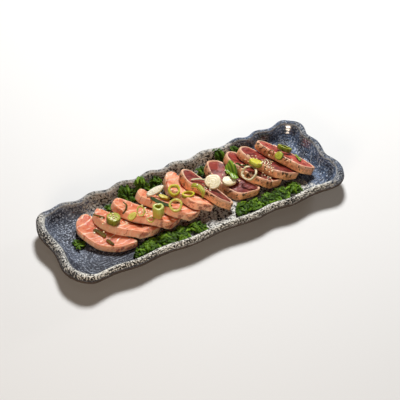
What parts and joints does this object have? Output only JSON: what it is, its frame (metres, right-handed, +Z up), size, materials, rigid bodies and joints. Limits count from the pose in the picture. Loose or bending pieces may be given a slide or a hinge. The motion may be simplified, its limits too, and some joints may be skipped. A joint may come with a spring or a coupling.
{
  "type": "sashimi plate",
  "caption": "Long stoneware plate with a wavy rim, holding a shingled row of salmon and seared tuna slices on curly greens, topped with scallion, onion and sesame.",
  "frame": {"origin": "centre of the plate's outline, on the table under its foot ring", "axes": "+X along the plate towards the tuna end, +Y towards the far long side, +Z up"},
  "size_m": [0.3429, 0.122, 0.0455],
  "materials": {
    "glaze": "gloss",
    "salmon": "moist",
    "tuna": "moist",
    "leaf": "satin",
    "scallion_green": "satin",
    "scallion_dark": "satin",
    "scallion_pale": "satin",
    "onion_white": "satin"
  },
  "bodies": {
    "root": {"plate": "glaze", "leaves_near_left": "leaf", "leaves_near_right": "leaf", "leaves_far_left": "leaf", "leaf_left": "leaf", "leaf_far_left": "leaf", "leaf_far_middle": "leaf", "leaf_far_right_1": "leaf", "leaf_far_right_2": "leaf", "salmon_slice_1": "salmon", "salmon_slice_2": "salmon", "salmon_slice_3": "salmon", "salmon_slice_4": "salmon", "salmon_slice_5": "salmon", "tuna_slice_1": "tuna", "tuna_slice_2": "tuna", "tuna_slice_3": "tuna", "tuna_slice_4": "tuna", "tuna_slice_5": "tuna", "onion_wedge": "onion_white", "onion_slice": "scallion_pale", "chive_leaf_1": "scallion_dark", "chive_leaf_2": "scallion_dark", "chive_leaf_3": "scallion_green", "chive_leaf_4": "scallion_dark", "scallion_round_1": "scallion_green", "scallion_round_2": "scallion_pale", "scallion_ring_1": "scallion_pale", "scallion_ring_2": "scallion_pale", "leaf_strip_1": "scallion_dark", "scallion_stalk": "scallion_green", "scallion_chunk": "scallion_green", "scallion_ring_3": "scallion_pale", "scallion_ring_4": "scallion_pale", "leaf_strip_2": "scallion_green", "onion_strip": "onion_white", "onion_round_1": "onion_white", "onion_round_2": "onion_white", "leaf_strip_3": "scallion_green", "leaf_strip_4": "scallion_dark", "onion_ring": "onion_white", "scallion_round_3": "scallion_green", "scallion_ring_5": "scallion_pale", "scallion_ring_6": "scallion_green", "scallion_round_4": "scallion_green", "leaf_strip_5": "scallion_green"}
  },
  "joints": []
}
